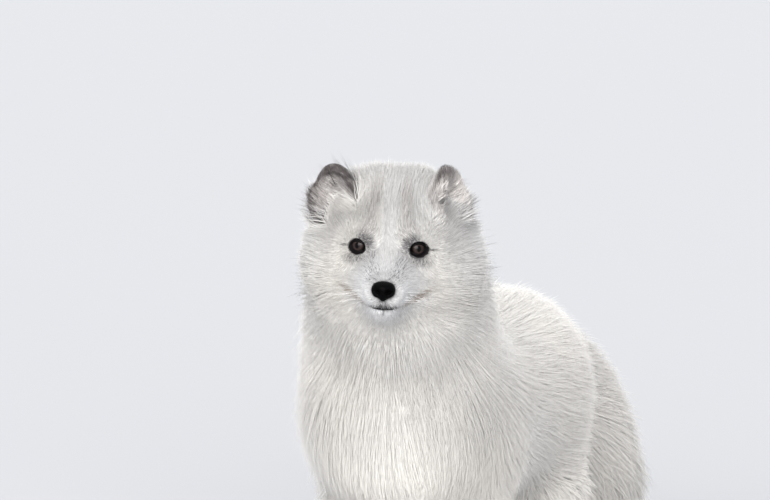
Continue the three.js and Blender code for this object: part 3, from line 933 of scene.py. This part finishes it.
def eyeMaterial():
    add, finish = startMaterial("eyeGloss")

    def vector(operation, first, values=None, output="Vector"):
        return add("VectorMath", output, {0: first, **(values or {})}, operation=operation)

    flat = add("UVMap", "UV", {}, uv_map="gaze")
    centred = vector("SUBTRACT", flat, {1: (0.5, 0.5, 0)})
    away = vector("LENGTH", centred, output="Value")
    heading = vector("NORMALIZE", centred)
    rays = add("TexNoise", "Fac", {"Vector": heading, "Scale": 7, "Detail": 4})
    tones = add("ValToRGB", "Color", {"Fac": away})
    stops = [
        (0.0, (28, 23, 22)), (0.1, (37, 31, 30)), (0.18, (55, 46, 44)), (0.232, (40, 33, 32)),
        (eye["iris"] / gazeAcross, (16, 13, 13)), (0.33, (7, 6, 7)),
    ]
    elements = tones.node.color_ramp.elements
    for index, (spot, colour) in enumerate(stops):
        stop = elements[index] if index < 2 else elements.new(spot)
        stop.position = spot
        stop.color = (*shade(*colour), 1)
    reach = {"From Min": 0.3, "From Max": 0.7, "To Min": 0.65, "To Max": 1.3}
    streaks = add("MapRange", "Result", {"Value": rays, **reach})
    tinted = vector("SCALE", tones, {"Scale": streaks})
    narrow = [gazeAcross / half for half in eye["pupil"]] + [0]
    narrowed = vector("MULTIPLY", centred, {1: narrow})
    inPupil = vector("LENGTH", narrowed, output="Value")
    edge = add("MapRange", "Result", {"Value": inPupil, "From Min": 0.85, "From Max": 1.15, "To Min": 0.06})
    darkened = vector("SCALE", tinted, {"Scale": edge})
    gloss = {"Specular IOR Level": 0.04, "Coat Weight": 0.16, "Coat Roughness": 0.03}
    return finish({"Roughness": 0.3, **gloss, "Base Color": darkened})


eyeGloss = eyeMaterial()


def buildEye(side):
    deselectAll()
    bpy.ops.mesh.primitive_uv_sphere_add(segments=56, ring_count=36, radius=1)
    ball = named(bpy.context.object, "eyeball_" + side)
    spots = placesOf(ball) * eye["radius"]
    away = np.hypot(spots[:, 0], spots[:, 1])
    front = spots[:, 2] > 0
    spots[:, 2] += front * eye["bulge"] * np.clip(1 - (away / eye["clearFront"]) ** 2, 0, 1) ** 1.5
    moveTo(ball, fromEye(spots, side))
    corners = readAll(ball.data.loops, "vertex_index", 1, np.int64)[:, 0]
    flat = (spots[:, :2] - (0, eye["lift"])) / gazeAcross + 0.5
    ball.data.uv_layers[0].name = "OFBake"
    ball.data.uv_layers.new(name="gaze").data.foreach_set("uv", flat[corners].astype(np.float32).ravel())
    finishPiece(ball, eyeGloss, "eye", "eye_" + side)


for side in sides:
    buildEye(side)
print("eyes done")


# Lids: a band round each opening, from under the ball's front over the dark rim to beneath the short hair.
# Each ring has its place past the opening, the radius it keeps round the ball, its rise and its tone.

lid = {
    "points": 64, "lower": 4.4, "cornerTurn": 200, "corner": 1.5, "cornerSpread": 26, "thick": 0.5,
    "left": {"wide": 6.6, "upper": 4.0, "drop": 0}, "right": {"wide": 6.3, "upper": 3.8, "drop": 0.3},
    "rings": [
        (-0.9, 8.7, -1.0, (10, 9, 10)), (-0.15, 9.3, -1.0, (12, 10, 11)), (0.35, 9.85, -0.5, (14, 12, 13)),
        (0.9, 9.9, 0.2, (16, 14, 15)), (1.4, 9.5, 0.1, (22, 19, 20)), (1.9, 8.6, -0.5, (40, 37, 37)),
        (2.6, 5.0, -1.5, (60, 56, 56)),
    ],
}
far = 30  # millimetres before the eye, from where the skin is felt for


def lidHeight(u, v, radius, rise, side):  # above the ball's middle, on the skin or on the ball
    start = Vector(fromEye((u, v, far), side)[0])
    found = skinTree.ray_cast(start, Vector(-eyeAxes(side)[2]), 1.5 * far * mm)[3]
    onSkin = far - found / mm + rise if found else -eye["radius"]
    onBall = math.sqrt(max(radius * radius - np.hypot(u, v) ** 2, 0))
    return max(onSkin, onBall)


def buildLid(side):
    deselectAll()
    bpy.ops.mesh.primitive_circle_add(vertices=lid["points"], radius=1, fill_type="NOTHING")
    band = named(bpy.context.object, "eyelid_" + side)
    startEdit(band)
    for ring in lid["rings"][1:]:
        bpy.ops.mesh.extrude_region_move(TRANSFORM_OT_translate={"value": (0, 0, 0.1)})
    endEdit()
    turn = np.arange(lid["points"]) / lid["points"] * 2 * math.pi
    tall = np.where(np.sin(turn) > 0, lid[side]["upper"], lid["lower"])
    opening = 1 / np.hypot(np.cos(turn) / lid[side]["wide"], np.sin(turn) / tall)
    fromCorner = (np.degrees(turn) - lid["cornerTurn"] + 180) % 360 - 180
    corner = lid["corner"] * np.exp(-((fromCorner / lid["cornerSpread"]) ** 2))
    spots, colours = [], []
    for grow, radius, rise, tone in lid["rings"]:
        away = opening + grow * (1 + 0.5 * np.sin(turn) ** 2)
        away += corner * np.interp(grow, [-1, 0, 2.6], [0.6, 1, 0.8])
        across, up = away * np.cos(turn), away * np.sin(turn) - lid[side]["drop"]
        spots += [(u, v, lidHeight(u, v, radius, rise, side)) for u, v in zip(across, up)]
        colours += [shade(*tone)] * lid["points"]
    order = np.argsort(np.round(placesOf(band)[:, 2] / 0.1), kind="stable")
    places, shades = np.empty((2, len(spots), 3))
    places[order], shades[order] = fromEye(np.array(spots), side), np.array(colours)
    moveTo(band, places)
    paint(band.data, shades)
    solidify = band.modifiers.new("thickness", "SOLIDIFY")
    solidify.thickness = lid["thick"] * mm
    solidify.offset = 0
    smooth = band.modifiers.new("round", "SUBSURF")
    smooth.levels = smooth.render_levels = 1
    applyModifiers(band)
    closeUp(band)
    finishPiece(band, lidSkin, "dark_skin")


for side in sides:
    buildLid(side)
print("lids done")


# The nose: pebbled pad with a groove down the middle and two nostrils that sweep outwards, painted darker
# inside as painted shade

nose = {
    "voxel": 0.55, "nostril": (3.7, -28.4), "hole": (1.9, 2.3, 3.4), "slit": (2.2, 0.7, 1.5),
    "wing": (3.2, 1.6, 0.5), "groove": (0.7, 0.6), "tone": shade(4, 4, 5), "inside": shade(1, 1, 1),
}


def bell(across, up, wide, tall):
    return np.exp(-((across / wide) ** 2 + (up / tall) ** 2))


pad = newPiece("nosePad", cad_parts["nose"].data.copy())
closeUp(pad)
remeshed(pad, nose["voxel"])
moveTo(pad, evened(placesOf(pad), edgesOf(pad), 6))
spots = inHead(placesOf(pad))
u, v = np.abs(spots[:, 0]) - nose["nostril"][0], spots[:, 2] - nose["nostril"][1]
front = ramp(spots[:, 1], -42, -47)
hole = bell(u, v, *nose["hole"][:2])
slit = bell(u - 2.6, v + 0.5 - 0.25 * u, *nose["slit"][:2])
wing = bell(u - 1.5, v - 2.4, *nose["wing"][:2])
groove = bell(spots[:, 0], 0, nose["groove"][0], 1) * ramp(spots[:, 2], -25.5, -29)
hollow = nose["hole"][2] * hole + nose["slit"][2] * slit * (1 - hole) + nose["groove"][1] * groove
spots[:, 1] += front * (hollow - nose["wing"][2] * wing)
moveTo(pad, fromHead(spots))
# painted shade: darker down in the nostrils
paint(pad.data, mixed(nose["tone"], nose["inside"], front * np.maximum(hole, slit)))
finishPiece(pad, noseSkin, "dark_skin", "nose")
print("nose done")


# Lips: a soft dark line that follows the skin where the jaws meet

lip = {"half": 13.5, "height": -44.2, "rise": -0.008, "thick": 1.6, "proud": 0.9, "points": 25}

line = bpy.data.curves.new("lips", "CURVE")
line.dimensions = "3D"
line.bevel_depth = mm
line.bevel_resolution = 3
line.use_fill_caps = True
spline = line.splines.new("POLY")
spline.points.add(lip["points"] - 1)
forward = headAxes @ Vector((0, 1, 0))
for index, point in enumerate(spline.points):
    x = lip["half"] * (2 * index / (lip["points"] - 1) - 1)
    start = Vector(fromHead((x, -90, lip["height"] + lip["rise"] * x * x))[0])
    spot = skinTree.ray_cast(start, forward)[0]
    point.co = (*(spot - forward * lip["proud"] * mm), 1)
    point.radius = lip["thick"] * (1 - 0.75 * (abs(x) / lip["half"]) ** 1.5)
piece = newPiece("lips", line)
pick(piece)
bpy.ops.object.convert(target="MESH")
piece = named(bpy.context.object, "lips")
places = placesOf(piece)
moveTo(piece, mixed(places, evened(places, edgesOf(piece), 2), 0.5))
paint(piece.data, np.tile(tones["lip"], (len(places), 1)))
closeUp(piece)
finishPiece(piece, lidSkin, "dark_skin")


# Whiskers on both sides of the muzzle

whisker = {
    "each": 14, "low": (12, -36, -41), "high": (19, -27, -31), "long": (24, 44), "thick": 0.3, "points": 7,
    "back": 0.25, "droop": 0.16, "pale": 0.8,
}

source = np.random.RandomState(71)
count, points = whisker["each"] * 2, whisker["points"]
side = np.repeat([1.0, -1.0], whisker["each"])
low, high = np.array(whisker["low"]), np.array(whisker["high"])
spots = low + (high - low) * source.uniform(0, 1, (count, 3))
spots[:, 0] *= side
roots = inHead(np.array([skinTree.find_nearest(Vector(fromHead(spot)[0]))[0] for spot in spots]))
heading = [side, source.uniform(-0.1, 0.5, count), source.uniform(-0.35, 0.2, count)]
heading = unit(np.stack(heading, axis=1))
long = source.uniform(*whisker["long"], count)[:, None]
t = np.linspace(0, 1, points)[:, None]
line = roots[:, None] + heading[:, None] * long[:, None] * t
line[:, :, 1] += whisker["back"] * long * t[:, 0] ** 2
line[:, :, 2] -= whisker["droop"] * long * t[:, 0] ** 2
line = fromHead(line.reshape(-1, 3)).reshape(line.shape)
upright = np.tile(np.array(headAxes @ Vector((0, 0, 1))), (count, points, 1))
pale = np.where(source.uniform(0, 1, count) < whisker["pale"], 1.0, 0.2)
colours = tones["white"] * pale[:, None, None] * np.ones((1, points, 1))
wide, spread = np.full(count, whisker["thick"]), np.full((count, 2), 0.5)
mesh = tuftMesh("whiskers", line, upright, wide, colours, spread)
finishPiece(newPiece("whiskers", mesh), coatFur, "coat")


# Claws: one cone bent downwards, copied to the four toes of each paw

claw = {
    "long": 10.0, "thick": 1.7, "tip": 0.15, "height": 8.0, "toes": (-0.34, -0.12, 0.12, 0.34), "sunk": 3.5,
    "bend": 0.045, "splay": 0.5, "narrow": 0.8, "root": shade(122, 112, 104), "top": shade(60, 54, 52),
}


def buildClaw(x, front, share):
    start = Vector((x, front - 0.05, claw["height"] * mm))
    spot = skinTree.ray_cast(start, Vector((0, 1, 0)))[0]
    deselectAll()
    bpy.ops.mesh.primitive_cone_add(
        vertices=14, radius1=claw["thick"], radius2=claw["tip"], depth=claw["long"])
    piece = bpy.context.object
    startEdit(piece)
    bpy.ops.mesh.subdivide(number_cuts=4)
    endEdit()
    shape = placesOf(piece)
    out = shape[:, 2] + claw["long"] / 2 - claw["sunk"]
    drop = claw["bend"] * np.clip(out + claw["sunk"], 0, None) ** 2
    across = shape[:, 0] * claw["narrow"] + share * out * claw["splay"]
    spots = np.stack([across, -out, shape[:, 1] - drop], axis=1)
    moveTo(piece, spots * mm + np.array(spot))
    return piece


copies = []
for paw in ("forepaw_left", "forepaw_right", "hindpaw_left", "hindpaw_right"):
    low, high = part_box(paw)
    for share in claw["toes"]:
        copies.append(buildClaw((low.x + high.x) / 2 + share * (high.x - low.x), low.y, share))
piece = joined(copies, "claws")
closeUp(piece, 0.001)
fade = ramp(placesOf(piece)[:, 2] / mm, 3, 9)
paint(piece.data, mixed(claw["root"], claw["top"], fade))
finishPiece(piece, clawHorn, "dark_skin")
print("lips, whiskers and claws done")


# Camera and light

view = {
    "azimuth": 18, "elevation": 7, "lens": 300, "sensor": 36, "pixel": 0.84, "width": 770,
    "aside": 3, "below": 2.5,
}
studio = {
    "sky": (0.72, 0.73, 0.755), "floor": (0.515, 0.52, 0.535), "floorSize": 60,
    "softSun": (6.1, (77, 0, 12), 50), "backSun": (1.35, (52, 0, 200), 90),  # strength, turn and softness
}

azimuth, elevation = math.radians(view["azimuth"]), math.radians(view["elevation"])
level = math.cos(elevation)
away = Vector((math.sin(azimuth) * level, -math.cos(azimuth) * level, math.sin(elevation)))
perPixel = view["pixel"] * mm
distance = perPixel * view["lens"] / view["sensor"] * view["width"]
cameraData = bpy.data.cameras.new("camera")
cameraData.lens = view["lens"]
cameraData.sensor_width = view["sensor"]
cameraData.clip_end = 200
camera = newPiece("camera", cameraData)
turn = (-away).to_track_quat("-Z", "Y")
across, up = turn @ Vector((1, 0, 0)), turn @ Vector((0, 1, 0))
aim = headOrigin - across * view["aside"] * perPixel - up * view["below"] * perPixel
camera.location = aim + away * distance
camera.rotation_euler = turn.to_euler()
bpy.context.scene.camera = camera

world = bpy.data.worlds.new("studioSky")
bpy.context.scene.world = world
world.use_nodes = True
world.node_tree.nodes["Background"].inputs["Color"].default_value = (*studio["sky"], 1)
for name in ("softSun", "backSun"):
    strength, turn, softness = studio[name]
    sun = bpy.data.lights.new(name, "SUN")
    sun.energy = strength
    sun.angle = math.radians(softness)
    newPiece(name, sun).rotation_euler = [math.radians(angle) for angle in turn]
deselectAll()
bpy.ops.mesh.primitive_plane_add(size=studio["floorSize"])
floor = named(bpy.context.object, "floor")
add, finish = startMaterial("paleFloor")
floor.data.materials.append(finish({"Base Color": (*studio["floor"], 1), "Roughness": 0.9}))
bpy.context.scene.view_settings.view_transform = "Standard"
